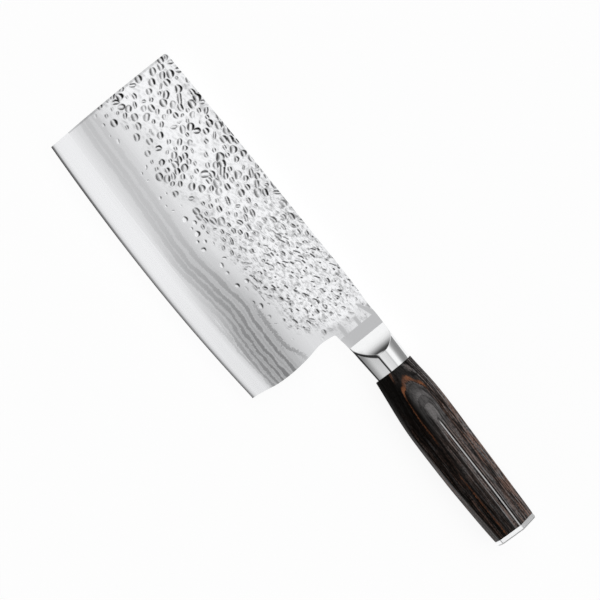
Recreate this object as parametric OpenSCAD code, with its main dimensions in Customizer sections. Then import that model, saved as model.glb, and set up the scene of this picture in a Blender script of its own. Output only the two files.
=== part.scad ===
// Kitchen cleaver: a three-layer blade, a solid bolster and a faceted wood grip held by
// a hidden tang. The cleaver lies on its side: +X runs from the blade's front to the butt,
// +Y towards the spine and +Z up. The origin lies under the middle of the whole cleaver,
// level with the lower ridge of the grip. Sizes are in millimetres.

/* [Blade] */
// Length of the cutting edge
edge_l = 170; // [130:1:220]
// Height from the lowest point of the edge to the spine
blade_h = 82; // [70:1:110]
// Thickness of the flat part of the blade
blade_t = 2.2; // [1.8:0.1:3.6]
// Thickness of the hard core layer
core_t = 1; // [0.6:0.05:1.4]
// Height of the ground zone above the lowest point of the edge
grind_h = 35; // [20:1:45]
// Height of the fine bevel along the edge
bevel_h = 1.2; // [0.6:0.1:3]
// Thickness of the blade just above the fine bevel
behind_edge_t = 0.4; // [0.25:0.05:0.5]
// Thickness left at the very edge
edge_t = 0.1; // [0.05:0.05:0.2]
// Rise of the edge at its front corner
front_rise = 3.3; // [0:0.1:8]
// Rise of the edge at its heel corner
heel_rise = 2.8; // [0:0.1:8]
// Bow of the front end between its corners
front_bow = 0.9; // [0:0.1:3]
// Radius of the corner between the front end and the spine
front_corner_r = 1.8; // [0.5:0.1:6]
// Swell of the heel's back behind the end of the edge
heel_swell = 3.1; // [0:0.1:6]
// Depth of the shallow dip of the spine over the neck
spine_dip = 0.9; // [0:0.1:3]

/* [Neck and bolster] */
// Distance from the end of the edge to the bolster
neck_l = 12; // [8:0.5:25]
// Height of the neck where it meets the bolster
neck_h = 22.6; // [19:0.1:26]
// Drop from the spine to the top of the neck
neck_drop = 0.7; // [0:0.1:3]
// Length of the bolster
bolster_l = 22.7; // [19:0.1:35]
// Height of the bolster where it meets the grip
bolster_h = 20.8; // [18:0.1:24]
// Drop from the spine to the top of the bolster at the grip
bolster_drop = 1.35; // [0.5:0.05:3]
// Width of the bolster across its crowns
bolster_w = 14.2; // [12:0.1:18]
// Radius of the hollow that rises from the neck to the crown
scoop_r = 15.7; // [12:0.1:20]
// Thickness of the bolster's lip over each side of the neck
lip_t = 0.25; // [0.15:0.05:1]

/* [Grip] */
// Length of the wood grip
grip_l = 104.3; // [85:0.1:140]
// Height of the grip from its belly to its hump
grip_h = 29; // [26:0.5:36]
// Width of the grip across its side ridges
grip_w = 20.6; // [17:0.1:26]
// Rise of the grip's hump above the spine
grip_rise = 0.55; // [0:0.05:3]

/* [End cap] */
// Thickness of the end cap
cap_t = 2.8; // [2:0.1:8]
// Width of the bevel round the end cap's outer rim
cap_rim = 0.6; // [0.2:0.1:1.5]
// Radius of the two pins that locate the cap
cap_pin_r = 1.2; // [0.8:0.1:1.4]
// Length of a cap pin
cap_pin_l = 8; // [4:0.5:14]
// Depth of a cap pin in the cap
cap_pin_in = 1.5; // [0.8:0.1:1.8]
// Distance between the axes of the two cap pins
cap_pin_gap = 17; // [16.4:0.1:18]

/* [Tang] */
// Height of the blade's stub inside the bolster
stub_h = 14; // [8:0.5:16]
// Length of the blade's stub inside the bolster
stub_l = 10; // [6:0.5:13]
// Depth that each side of the stub is set back from the side of the blade
stub_step = 0.2; // [0.1:0.05:0.35]
// Height of the flat tang bar
tang_h = 9; // [6:0.5:9.5]
// Thickness of the flat tang bar
tang_t = 4; // [2:0.5:5]
// Depth of the tang bar in the bolster
tang_in = 6; // [3:0.5:7]
// Drop of the tang's axis below the middle of the bolster
tang_sink = 1.6; // [0:0.1:2]
// Radius of the bore that the tang is bedded in
bore_r = 5.3; // [5.2:0.05:6.2]
// Radius of the threaded stud at the tang's rear end
stud_r = 2.5; // [1.5:0.1:3]
// Length of the threaded stud
stud_l = 11; // [10:0.5:14]
// Length of wood between the bedding bore and the nut's pocket
web_l = 4; // [2:0.5:6]
// Radius of the pocket for the nut
pocket_r = 6.5; // [5:0.1:7]
// Depth of the pocket for the nut
pocket_l = 8; // [6:0.5:12]
// Radius of the washer
washer_r = 6; // [4:0.1:6.2]
// Thickness of the washer
washer_t = 1; // [0.5:0.1:1.5]
// Width of the nut across its flats
nut_w = 8; // [6.5:0.5:10]
// Thickness of the nut
nut_t = 4; // [3:0.5:4.5]

/* [Hidden] */

// Side clearance of the stub and the tang in the bolster
fit = 0.05;
// Radial clearance of the stud in the wood and of the washer on the stud
stud_clear = 0.2;
// Overrun of cuts and of bodies that another body trims
over = 1;
// Segments of a full circle
round_n = 96;
// Number of strips along the edge, the grip and the corners of a section
edge_steps = 20;
grip_steps = 30;
corner_steps = 3;

// Places along X from the blade's front
bolster_x = edge_l + neck_l;
grip_x = bolster_x + bolster_l;
cap_x = grip_x + grip_l;
total_l = cap_x + cap_t;
// Places along Y from the lowest point of the edge
neck_top_y = blade_h - neck_drop;
neck_low_y = neck_top_y - neck_h;
bolster_top_y = blade_h - bolster_drop;
bolster_low_y = bolster_top_y - bolster_h;
tang_y = bolster_top_y - bolster_h / 2 - tang_sink;
grip_top_y = blade_h + grip_rise;
total_h = max(grip_top_y, blade_h);
// Half widths
half_blade = blade_t / 2;
half_bolster = bolster_w / 2;
half_grip = grip_w / 2;

// The lowest point of the edge, as a share of its length from the front
low_share = 0.55;
// The spine's line: share of the edge's length, share of the dip below the spine
spine_shares = [[0.05, 0.6], [0.12, 0.4], [0.3, 0.1], [0.4, 0], [0.9, 0], [0.95, 0.4], [1, 1],
    [1.03, 0.6]];
// The heel's back: share of the height of the neck's underside, share of the swell
heel_shares = [[0, 0], [0.06, 0.05], [0.135, 0.25], [0.21, 0.52], [0.28, 0.8], [0.35, 0.94],
    [0.43, 1], [0.5, 0.97], [0.57, 0.87], [0.65, 0.72], [0.72, 0.5], [0.79, 0.22], [0.84, 0.15],
    [0.9, 0.28], [0.96, 0.42]];
// The corner under the neck: share of the neck's length, share of the neck's height below it
notch_shares = [[0.13, 0.07], [0.2, 0.05], [0.45, 0.035], [0.75, 0.012]];

// The grip's lines: share of its length, share of its height below the hump
top_shares = [[0, 0.043], [0.04, 0.036], [0.08, 0.025], [0.12, 0.013], [0.16, 0.006],
    [0.2, 0], [0.24, 0], [0.28, 0.002], [0.36, 0.011], [0.44, 0.025], [0.52, 0.036], [0.64, 0.053],
    [0.8, 0.075], [0.97, 0.099], [1, 0.108]];
belly_shares = [[0, 0.836], [0.08, 0.874], [0.16, 0.914], [0.24, 0.95], [0.32, 0.974],
    [0.4, 0.985], [0.52, 0.994], [0.64, 1], [0.76, 0.994], [0.88, 0.986], [0.96, 0.975],
    [1, 0.966]];
ridge_shares = [[0, 0.375], [0.13, 0.366], [0.36, 0.371], [0.53, 0.381], [0.77, 0.391],
    [1, 0.42]];
// The crown along the ridge: share of the grip's length, half its height as a share of grip_h
land_shares = [[0, 0.11], [0.1, 0.118], [0.2, 0.118], [0.27, 0.095], [0.31, 0.06],
    [0.345, 0.026], [0.375, 0.013], [1, 0.013]];
// The rise of the keel facet above the belly, as a share of the grip's height
keel_shares = [[0, 0.036], [0.08, 0.056], [0.24, 0.052], [0.33, 0.048], [0.53, 0.06],
    [0.73, 0.083], [0.9, 0.094], [1, 0.09]];
// Half widths at the crown, the top, the keel facet and the belly, as shares of half_grip
crown_w_shares = [[0, 0.7], [0.05, 0.717], [0.085, 0.75], [0.165, 0.855], [0.22, 0.915],
    [0.28, 0.96], [0.36, 0.988], [0.5, 1], [1, 1]];
top_w_shares = [[0, 0.33], [0.15, 0.37], [0.28, 0.37], [0.5, 0.33], [1, 0.28]];
keel_w_shares = [[0, 0.21], [0.08, 0.27], [0.16, 0.35], [0.24, 0.42], [0.33, 0.47],
    [0.53, 0.53], [0.73, 0.57], [1, 0.6]];
belly_w_shares = [[0, 0.14], [0.3, 0.17], [1, 0.19]];
// Softness of the top, the crown's upper and lower side, the keel and the belly corner
top_soft_shares = [[0, 0.13], [0.15, 0.12], [0.28, 0.08], [0.37, 0.03], [1, 0.02]];
crown_soft_shares = [[0, 0.1], [0.2, 0.1], [0.3, 0.06], [0.37, 0.01], [1, 0.01]];
edge_soft_shares = [[0, 0.012], [0.08, 0.05], [0.2, 0.08], [0.3, 0.05], [0.37, 0.01], [1, 0.01]];
keel_soft_shares = [[0, 0.02], [0.2, 0.04], [0.37, 0.02], [1, 0.012]];
belly_soft_shares = [[0, 0.014], [1, 0.02]];

// The bolster's section as shares of its height from the top and of its half width
crown_high_share = 0.29;
crown_low_share = 0.6;
keel_y_share = 0.965;
crown_low_w_share = 0.985;
bolster_top_w_share = 0.46;
keel_w_share = 0.24;
bolster_belly_w_share = 0.19;
// The same section's softness at its five corners, as shares of its height
bolster_soft_shares = [0.18, 0.14, 0.012, 0.02, 0.012];

// A corner b between a and c, drawn as a short curve that starts and ends on its sides
function soft_corner(a, b, c, soft_in, soft_out) =
    let (
        in_l = norm(a - b),
        out_l = norm(c - b),
        p = b + (a - b) * min(soft_in / in_l, 0.48),
        q = b + (c - b) * min(soft_out / out_l, 0.48)
    )
    [for (i = [0 : corner_steps])
        let (k = i / corner_steps)
        (1 - k) * (1 - k) * p + 2 * k * (1 - k) * b + k * k * q];

// Half a section as [y, z] points from the top to the belly, softened at its corners
function soft_half(corners, soft) =
    [for (i = [1 : len(corners) - 2])
        each soft_corner(corners[i - 1], corners[i], corners[i + 1], soft[i - 1], soft[i - 1])];

// A closed ring at x from half a section and its mirror image
function ring(x, half) =
    concat([for (p = half) [x, p[0], p[1]]],
        [for (i = [len(half) - 1 : -1 : 0]) [x, half[i][0], -half[i][1]]]);

// Half the grip's section at the share u of its length
function grip_half(u) =
    let (
        top = grip_top_y - grip_h * lookup(u, top_shares),
        low = grip_top_y - grip_h * lookup(u, belly_shares),
        ridge = grip_top_y - grip_h * lookup(u, ridge_shares),
        land = grip_h * lookup(u, land_shares),
        crown_z = half_grip * lookup(u, crown_w_shares),
        corners = [
            [top, 0],
            [top, half_grip * lookup(u, top_w_shares)],
            [ridge + land, crown_z],
            [ridge - land, crown_z],
            [low + grip_h * lookup(u, keel_shares), half_grip * lookup(u, keel_w_shares)],
            [low, half_grip * lookup(u, belly_w_shares)],
            [low, 0]
        ],
        soft = grip_h * [
            lookup(u, top_soft_shares),
            lookup(u, crown_soft_shares),
            lookup(u, edge_soft_shares),
            lookup(u, keel_soft_shares),
            lookup(u, belly_soft_shares)
        ]
    )
    soft_half(corners, soft);

// Half the bolster's section between its top and low height
function bolster_half(top, low) =
    let (
        h = top - low,
        corners = [
            [top, 0],
            [top, half_bolster * bolster_top_w_share],
            [top - h * crown_high_share, half_bolster],
            [top - h * crown_low_share, half_bolster * crown_low_w_share],
            [top - h * keel_y_share, half_bolster * keel_w_share],
            [low, half_bolster * bolster_belly_w_share],
            [low, 0]
        ]
    )
    soft_half(corners, h * bolster_soft_shares);

// Height of the edge at x: a flat arc that rises towards both corners
function edge_y(x) =
    let (
        low_x = edge_l * low_share,
        k = x < low_x ? (low_x - x) / low_x : (min(x, edge_l) - low_x) / (edge_l - low_x)
    )
    (x < low_x ? front_rise : heel_rise) * k * k;

// Half the ground blade's section at x: edge, fine bevel and the slope of the ground side
function grind_half(x) =
    let (
        bevel_y = edge_y(x) + bevel_h,
        slope = (half_blade - behind_edge_t / 2) / (grind_h - bevel_y),
        high_y = total_h + over
    )
    [
        [high_y, behind_edge_t / 2 + slope * (high_y - bevel_y)],
        [bevel_y, behind_edge_t / 2],
        [edge_y(x), edge_t / 2]
    ];

// The points of the blade's outline, up to the bolster
function blade_points() =
    concat(
        [[front_bow, -over], [front_bow, front_rise]],
        [[front_bow * 0.3, blade_h * 0.3], [0, blade_h * 0.55], [0, blade_h * 0.8]],
        [for (a = [0 : 15 : 90])
            [front_corner_r * (1 - cos(a)) + front_bow * 0.2,
                blade_h - spine_dip * spine_shares[0][1] - front_corner_r * (1 - sin(a))]],
        [for (s = spine_shares) [edge_l * s[0], blade_h - spine_dip * s[1]]],
        [[bolster_x, neck_top_y], [bolster_x, neck_low_y]],
        [for (i = [len(notch_shares) - 1 : -1 : 0])
            [edge_l + neck_l * notch_shares[i][0], neck_low_y - neck_h * notch_shares[i][1]]],
        [for (i = [len(heel_shares) - 1 : -1 : 0])
            [edge_l + heel_swell * heel_shares[i][1], neck_low_y * heel_shares[i][0]]],
        [[edge_l, -over]]
    );

// A closed body through rings of the same number of points, in order along +X
module skin(rings) {
    n = len(rings[0]);
    last = len(rings) - 1;
    polyhedron(
        points = [for (r = rings) each r],
        faces = concat(
            [[for (i = [0 : n - 1]) i]],
            [[for (i = [n - 1 : -1 : 0]) last * n + i]],
            [for (k = [0 : last - 1], i = [0 : n - 1])
                [k * n + i, (k + 1) * n + i, (k + 1) * n + (i + 1) % n]],
            [for (k = [0 : last - 1], i = [0 : n - 1])
                [k * n + i, (k + 1) * n + (i + 1) % n, k * n + (i + 1) % n]]
        ),
        convexity = 4
    );
}

// Moves the cleaver from its own corner to the origin under its middle
module placed() {
    translate([-total_l / 2, -total_h / 2, half_grip])
        children();
}

// A rod along +X from x0 to x1 on the height y
module rod(r, x0, x1, y = tang_y) {
    translate([x0, y, 0])
        rotate([0, 90, 0])
            cylinder(r = r, h = x1 - x0, $fn = round_n);
}

// A flat bar along +X from x0 to x1 on the tang's axis, between the heights z0 and z1
module bar(h, z0, z1, x0, x1) {
    translate([x0, tang_y - h / 2, z0])
        cube([x1 - x0, h, z1 - z0]);
}

// One layer of the blade between two heights: the outline trimmed by both ground sides and
// the fine bevel, and its share of the stub, which is set back on the layer's outer side
module blade_layer(z0, z1) {
    body_x = bolster_x + over;
    stub_z = half_blade - stub_step;
    intersection() {
        translate([0, 0, z0])
            linear_extrude(z1 - z0)
                polygon(blade_points());
        skin([for (i = [-1 : edge_steps + 1])
            let (x = i < 0 ? -over : (i > edge_steps ? body_x : edge_l * i / edge_steps))
            ring(x, grind_half(x))]);
    }
    bar(stub_h, max(z0, -stub_z), min(z1, stub_z), bolster_x - over, bolster_x + stub_l);
}

// Hard middle layer: it shows as the bright band along the edge
module blade_core() {
    color("gainsboro")
        placed()
            blade_layer(-core_t / 2, core_t / 2);
}

// Layered side sheet that faces up
module cladding_left() {
    color("lightgray")
        placed()
            blade_layer(core_t / 2, half_blade);
}

// Layered side sheet that faces down
module cladding_right() {
    color("lightgray")
        placed()
            blade_layer(-half_blade, -core_t / 2);
}

// Solid collar between neck and grip, hollowed to the neck on both sides
module bolster() {
    hollow_z = half_blade + lip_t + scoop_r;
    color("whitesmoke")
        placed()
            difference() {
                skin([
                    ring(bolster_x, bolster_half(neck_top_y, neck_low_y)),
                    ring(grip_x, bolster_half(bolster_top_y, bolster_low_y))
                ]);
                for (side = [-1, 1])
                    translate([bolster_x, -over, side * hollow_z])
                        rotate([-90, 0, 0])
                            cylinder(r = scoop_r, h = total_h + 2 * over, $fn = round_n);
                bar(stub_h + 2 * fit, stub_step - half_blade - fit, half_blade - stub_step + fit,
                    bolster_x - over, bolster_x + stub_l + fit);
                bar(tang_h + 2 * fit, -tang_t / 2 - fit, tang_t / 2 + fit,
                    grip_x - tang_in - fit, grip_x + over);
            }
}

// Places of the tang's parts along X
pocket_x = cap_x - pocket_l;
bore_end_x = pocket_x - web_l;
bar_end_x = bore_end_x - fit;

// Flat bar from the bolster, with a threaded stud at its rear end
module tang() {
    color("darkgray")
        placed()
            union() {
                bar(tang_h, -tang_t / 2, tang_t / 2, grip_x - tang_in, bar_end_x);
                rod(stud_r, bar_end_x, bar_end_x + stud_l);
            }
}

// Hardened resin that fills the bore round the flat bar
module tang_bedding() {
    color("burlywood")
        placed()
            difference() {
                rod(bore_r, grip_x, bore_end_x);
                bar(tang_h, -tang_t / 2, tang_t / 2, grip_x - over, bar_end_x);
                rod(stud_r, bore_end_x - over, bore_end_x + over);
            }
}

// Laminated wood grip with its bore, web and nut pocket, and the two pin holes
module grip() {
    color("saddlebrown")
        placed()
            difference() {
                skin([for (i = [0 : grip_steps])
                    ring(grip_x + grip_l * i / grip_steps, grip_half(i / grip_steps))]);
                rod(bore_r, grip_x - over, bore_end_x);
                rod(stud_r + stud_clear, bore_end_x - over, pocket_x + over);
                rod(pocket_r, pocket_x, cap_x + over);
                for (side = [-1, 1])
                    rod(cap_pin_r, cap_x - cap_pin_l + cap_pin_in, cap_x + over,
                        tang_y + side * cap_pin_gap / 2);
            }
}

// Washer on the floor of the nut's pocket
module tang_washer() {
    color("silver")
        placed()
            difference() {
                rod(washer_r, pocket_x, pocket_x + washer_t);
                rod(stud_r + stud_clear, pocket_x - over, pocket_x + washer_t + over);
            }
}

// Hexagon nut on the stud, tight on the washer
module tang_nut() {
    color("silver")
        placed()
            difference() {
                translate([pocket_x + washer_t, tang_y, 0])
                    rotate([0, 90, 0])
                        cylinder(r = nut_w / sqrt(3), h = nut_t, $fn = 6);
                rod(stud_r, pocket_x, pocket_x + washer_t + nut_t + over);
            }
}

// The cap's outline, drawn in by the bevel's width
function cap_half(inset) =
    let (
        half = grip_half(1),
        mid_y = (half[0][0] + half[len(half) - 1][0]) / 2,
        high = (half[0][0] - half[len(half) - 1][0]) / 2
    )
    [for (p = half) [mid_y + (p[0] - mid_y) * (1 - inset / high), p[1] * (1 - inset / half_grip)]];

// Steel cap over the grip's rear end, with two blind holes for its pins
module end_cap() {
    color("whitesmoke")
        placed()
            difference() {
                skin([
                    ring(cap_x, cap_half(0)),
                    ring(total_l - cap_rim, cap_half(0)),
                    ring(total_l, cap_half(cap_rim))
                ]);
                for (side = [-1, 1])
                    rod(cap_pin_r, cap_x - over, cap_x + cap_pin_in,
                        tang_y + side * cap_pin_gap / 2);
            }
}

// Two pins between the grip and the end cap
module cap_pins() {
    color("silver")
        placed()
            for (side = [-1, 1])
                rod(cap_pin_r, cap_x - cap_pin_l + cap_pin_in, cap_x + cap_pin_in,
                    tang_y + side * cap_pin_gap / 2);
}

blade_core();
cladding_left();
cladding_right();
bolster();
tang();
tang_bedding();
grip();
tang_washer();
tang_nut();
end_cap();
cap_pins();
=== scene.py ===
"""Dresses the packed kitchen cleaver: hammered layered blade, polished bolster and cap, laminated grip.

Shapes are surfaces worked out in metres in the cleaver's corner frame: x from the blade's front to the
butt, y from the lowest point of the edge to the spine, z out of the blade's middle plane. Patterns in
materials are worked out in millimetres of the packed model's own frame.
"""

import math

import bpy
import numpy as np
from bpy.props import FloatProperty, FloatVectorProperty, IntProperty, PointerProperty
from bpy.types import Operator, Panel, PropertyGroup
from mathutils import Color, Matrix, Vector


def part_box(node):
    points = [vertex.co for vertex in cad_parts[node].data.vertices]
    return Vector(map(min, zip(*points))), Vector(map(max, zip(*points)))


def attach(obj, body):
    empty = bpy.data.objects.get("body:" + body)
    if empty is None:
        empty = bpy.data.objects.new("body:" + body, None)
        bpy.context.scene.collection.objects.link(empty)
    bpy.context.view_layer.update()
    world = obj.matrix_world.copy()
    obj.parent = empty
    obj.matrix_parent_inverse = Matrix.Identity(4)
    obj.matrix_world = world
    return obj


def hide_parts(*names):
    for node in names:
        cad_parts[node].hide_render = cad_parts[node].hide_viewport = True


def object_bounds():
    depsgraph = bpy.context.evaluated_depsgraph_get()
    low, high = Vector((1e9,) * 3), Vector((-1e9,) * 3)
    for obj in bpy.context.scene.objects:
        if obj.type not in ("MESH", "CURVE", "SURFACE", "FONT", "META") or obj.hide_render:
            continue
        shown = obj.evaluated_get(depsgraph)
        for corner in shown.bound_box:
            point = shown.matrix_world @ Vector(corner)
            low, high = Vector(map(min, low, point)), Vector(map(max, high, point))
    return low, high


bl_info = {
    "name": "Kitchen cleaver looks",
    "version": (1, 0, 0),
    "blender": (4, 5, 0),
    "location": "3D Viewport > Sidebar > Cleaver",
    "description": "Builds the finished surfaces of a hammered kitchen cleaver round its packed model",
    "category": "Object",
}

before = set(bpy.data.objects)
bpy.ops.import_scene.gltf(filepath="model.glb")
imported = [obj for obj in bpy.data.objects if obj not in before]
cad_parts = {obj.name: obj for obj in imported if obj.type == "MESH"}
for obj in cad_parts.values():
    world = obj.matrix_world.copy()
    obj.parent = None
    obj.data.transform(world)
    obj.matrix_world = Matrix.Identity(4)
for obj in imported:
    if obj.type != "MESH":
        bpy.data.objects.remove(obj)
CAD_LOW, CAD_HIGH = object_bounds()
MIDDLE_Z = (CAD_LOW.z + CAD_HIGH.z) / 2
MM = 0.001
BODY = "root"


def span(node, axis):
    """Size of a CAD node along one axis."""
    low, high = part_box(node)
    return high[axis] - low[axis]


def start_x(node):
    """Distance of a CAD node from the blade's front."""
    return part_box(node)[0].x - CAD_LOW.x


# Lines of the blade, as given shares like those of the construction
SPINE_SHARES = ((0.05, 0.6), (0.12, 0.4), (0.3, 0.1), (0.4, 0), (0.9, 0), (0.95, 0.4), (1, 1), (1.03, 0.6))
HEEL_SHARES = (
    (0, 0), (0.06, 0.05), (0.135, 0.25), (0.21, 0.52), (0.28, 0.8), (0.35, 0.94), (0.43, 1), (0.5, 0.97),
    (0.57, 0.87), (0.65, 0.72), (0.72, 0.5), (0.79, 0.22), (0.84, 0.15), (0.9, 0.28), (0.96, 0.42),
)
NOTCH_SHARES = ((0.13, 0.07), (0.2, 0.05), (0.45, 0.035), (0.75, 0.012))
FRONT_SHARES = ((0, 1), (0.04, 1), (0.3, 0.3), (0.55, 0), (0.8, 0), (0.97, 0.2), (1, 0.2))
LOW_SHARE = 0.55
# The wavy upper end of the ground zone: share of the edge's length, rise in shares of the ground height
GROUND_SHARES = (
    (0, -0.06), (0.06, 0), (0.12, 0.08), (0.18, 0.16), (0.24, 0.08), (0.31, -0.02), (0.38, 0.06),
    (0.45, 0.16), (0.52, 0.05), (0.58, 0.08), (0.66, 0.14), (0.74, 0.12), (0.82, 0.2), (0.9, 0.14),
    (0.95, 0.3), (1, 0.6), (1.1, 0.7),
)
# The bend of the steel layers: share of the edge's length, rise in shares of the ground height
LAYER_SHARES = (
    (0, 0.06), (0.1, 0.03), (0.24, 0), (0.36, -0.04), (0.47, -0.08), (0.55, -0.1), (0.62, -0.05),
    (0.7, -0.01), (0.75, 0.03), (0.78, 0.02), (0.82, -0.01), (0.88, -0.02), (0.94, -0.02), (1.1, 0.02),
)

# Lines of the grip: share of its length, share of its height below the hump
TOP_SHARES = (
    (0, 0.043), (0.04, 0.036), (0.08, 0.025), (0.12, 0.013), (0.16, 0.006), (0.2, 0), (0.24, 0),
    (0.28, 0.002), (0.36, 0.011), (0.44, 0.025), (0.52, 0.036), (0.64, 0.053), (0.8, 0.075),
    (0.97, 0.099), (1, 0.108),
)
BELLY_SHARES = (
    (0, 0.836), (0.08, 0.874), (0.16, 0.914), (0.24, 0.95), (0.32, 0.974), (0.4, 0.985), (0.52, 0.994),
    (0.64, 1), (0.76, 0.994), (0.88, 0.986), (0.96, 0.975), (1, 0.966),
)
RIDGE_SHARES = ((0, 0.375), (0.13, 0.366), (0.36, 0.371), (0.53, 0.381), (0.77, 0.391), (1, 0.42))
LAND_SHARES = (
    (0, 0.11), (0.1, 0.118), (0.2, 0.118), (0.27, 0.095), (0.31, 0.06), (0.345, 0.026), (0.375, 0.013),
    (1, 0.013),
)
KEEL_SHARES = (
    (0, 0.036), (0.08, 0.056), (0.24, 0.052), (0.33, 0.048), (0.53, 0.06), (0.73, 0.083), (0.9, 0.094),
    (1, 0.09),
)
# Half widths at the crown, the top, the keel facet and the belly, as shares of half the grip's width
CROWN_W_SHARES = (
    (0, 0.7), (0.05, 0.717), (0.085, 0.75), (0.165, 0.855), (0.22, 0.915), (0.28, 0.96), (0.36, 0.988),
    (0.5, 1), (1, 1),
)
TOP_W_SHARES = ((0, 0.33), (0.15, 0.37), (0.28, 0.37), (0.5, 0.33), (1, 0.28))
KEEL_W_SHARES = (
    (0, 0.21), (0.08, 0.27), (0.16, 0.35), (0.24, 0.42), (0.33, 0.47), (0.53, 0.53), (0.73, 0.57), (1, 0.6),
)
BELLY_W_SHARES = ((0, 0.14), (0.3, 0.17), (1, 0.19))
# Softness of the grip's five corners from top to belly, as shares of its height
SOFT_SHARES = (
    ((0, 0.13), (0.15, 0.12), (0.28, 0.08), (0.37, 0.03), (1, 0.02)),
    ((0, 0.1), (0.2, 0.1), (0.3, 0.06), (0.37, 0.01), (1, 0.01)),
    ((0, 0.012), (0.08, 0.05), (0.2, 0.08), (0.3, 0.05), (0.37, 0.01), (1, 0.01)),
    ((0, 0.02), (0.2, 0.04), (0.37, 0.02), (1, 0.012)),
    ((0, 0.014), (1, 0.02)),
)
# The bolster's corners: share of its height from the top, share of its half width, softness
BOLSTER_SHARES = (
    (0, 0.46, 0.18), (0.29, 1, 0.14), (0.6, 0.985, 0.036), (0.965, 0.24, 0.02), (1, 0.19, 0.012),
)


def length(name, metres, words):
    """A length that a user can change."""
    return FloatProperty(name=name, description=words, default=metres, unit="LENGTH", precision=5)


def share(name, value, words):
    """A share between 0 and 1 that a user can change."""
    return FloatProperty(name=name, description=words, default=value, min=0, max=1, subtype="FACTOR")


def tint(name, red, green, blue, words):
    """A colour that a user can change."""
    return FloatVectorProperty(
        name=name, description=words, default=(red, green, blue), size=3, min=0, max=1, subtype="COLOR"
    )


class BladeSizes(PropertyGroup):
    """Sizes of the blade."""

    edge_l: length("Edge length", 0.170, "Length of the cutting edge")
    height: length("Height", span("blade_core", 1), "Height from the edge's lowest point to the spine")
    half_t: length("Half thickness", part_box("cladding_left")[1].z - MIDDLE_Z, "Half the flat's thickness")
    half_core: length("Half core", span("blade_core", 2) / 2, "Half the core layer's thickness")
    grind_h: length("Ground height", 0.035, "Height of the ground zone")
    bevel_h: length("Bevel height", 0.0012, "Height of the fine bevel along the edge")
    half_behind: length("Half behind the edge", 0.0002, "Half the thickness above the fine bevel")
    half_edge: length("Half edge", 0.00005, "Half the thickness at the very edge")
    front_rise: length("Front rise", 0.0033, "Rise of the edge at its front corner")
    heel_rise: length("Heel rise", 0.0028, "Rise of the edge at its heel corner")
    front_bow: length("Front bow", 0.0009, "Bow of the front end")
    corner_r: length("Corner radius", 0.0018, "Radius between front end and spine")
    heel_swell: length("Heel swell", 0.0031, "Swell of the heel's back")
    spine_dip: length("Spine dip", 0.0009, "Dip of the spine over the neck")
    neck_end: length("Neck end", start_x("bolster"), "Distance from the front end to the bolster")
    neck_h: length("Neck height", 0.0226, "Height of the neck at the bolster")
    neck_drop: length("Neck drop", 0.0007, "Drop from spine to neck")
    stub_h: length("Stub height", 0.014, "Height of the stub inside the bolster")
    stub_l: length("Stub length", 0.010, "Length of the stub inside the bolster")
    stub_step: length("Stub step", 0.0002, "Depth that the stub's sides are set back")


class HammerSizes(PropertyGroup):
    """The marks that the hammer leaves."""

    gap_front: length("Gap at the front", 0.0045, "Distance between marks at the blade's front")
    gap_heel: length("Gap at the heel", 0.0046, "Distance between marks at the heel")
    long_front: length("Length at the front", 0.0021, "Half length of a mark at the front")
    long_heel: length("Length at the heel", 0.0017, "Half length of a mark at the heel")
    steep: share("Steepness", 0.2, "Depth of a full mark as a share of its half width")
    swell: length("Swell", 0.000018, "Height of each of the slow waves under the marks")
    seed_left: IntProperty(name="Left seed", description="Pattern of the left side", default=11, min=0)
    seed_right: IntProperty(name="Right seed", description="Pattern of the right side", default=23, min=0)


class BolsterSizes(PropertyGroup):
    """Sizes of the bolster."""

    height: length("Height", 0.0208, "Height at the grip")
    drop: length("Drop", 0.00135, "Drop from the spine to its top at the grip")
    half_w: length("Half width", span("bolster", 2) / 2, "Half the width across its crowns")
    scoop_r: length("Hollow radius", 0.0157, "Radius of the hollow from neck to crown")
    lip: length("Lip", 0.00025, "Thickness of the lip over the neck")
    tang_t: length("Tang thickness", 0.004, "Thickness of the tang's flat bar")
    tang_sink: length("Tang sink", 0.0016, "Drop of the tang's axis below the bolster's middle")


class GripSizes(PropertyGroup):
    """Sizes of the grip and its cap."""

    start: length("Start", start_x("grip"), "Distance from the blade's front")
    length: length("Length", span("grip", 0), "Length of the wood")
    height: length("Height", 0.029, "Height from belly to hump")
    half_w: length("Half width", span("grip", 2) / 2, "Half the width across the side ridges")
    rise: length("Rise", 0.00055, "Rise of the hump above the spine")
    cap_t: length("Cap thickness", span("end_cap", 0), "Thickness of the end cap")
    cap_rim: length("Cap rim", 0.0006, "Width of the cap's bevel")
    bore_r: length("Bore radius", 0.0053, "Radius of the bedding bore")
    stud_r: length("Stud hole radius", 0.0027, "Radius of the hole for the stud")
    web_l: length("Web", 0.004, "Wood between bore and pocket")
    pocket_r: length("Pocket radius", 0.0065, "Radius of the nut's pocket")
    pocket_l: length("Pocket depth", 0.008, "Depth of the nut's pocket")


class Finishes(PropertyGroup):
    """Colours of the finishes."""

    steel: tint("Polished steel", 0.99, 0.995, 1.0, "Bolster and cap")
    blade: tint("Blade steel", 0.958, 0.963, 0.978, "Hammered and ground blade")
    plain: tint("Plain steel", 0.5, 0.5, 0.51, "Tang, washer, nut and pins")
    resin: tint("Resin", 0.55, 0.42, 0.24, "Bedding resin")
    wood_dark: tint("Dark layer", 0.003, 0.0025, 0.002, "Darkest wood layer")
    wood_grey: tint("Grey layer", 0.255, 0.242, 0.24, "Lightest grey wood layer")
    wood_brown: tint("Brown layer", 0.28, 0.15, 0.105, "Lightest brown wood layer")
    amber: tint("Amber layer", 0.34, 0.13, 0.06, "The one orange-brown wood layer")


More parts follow.
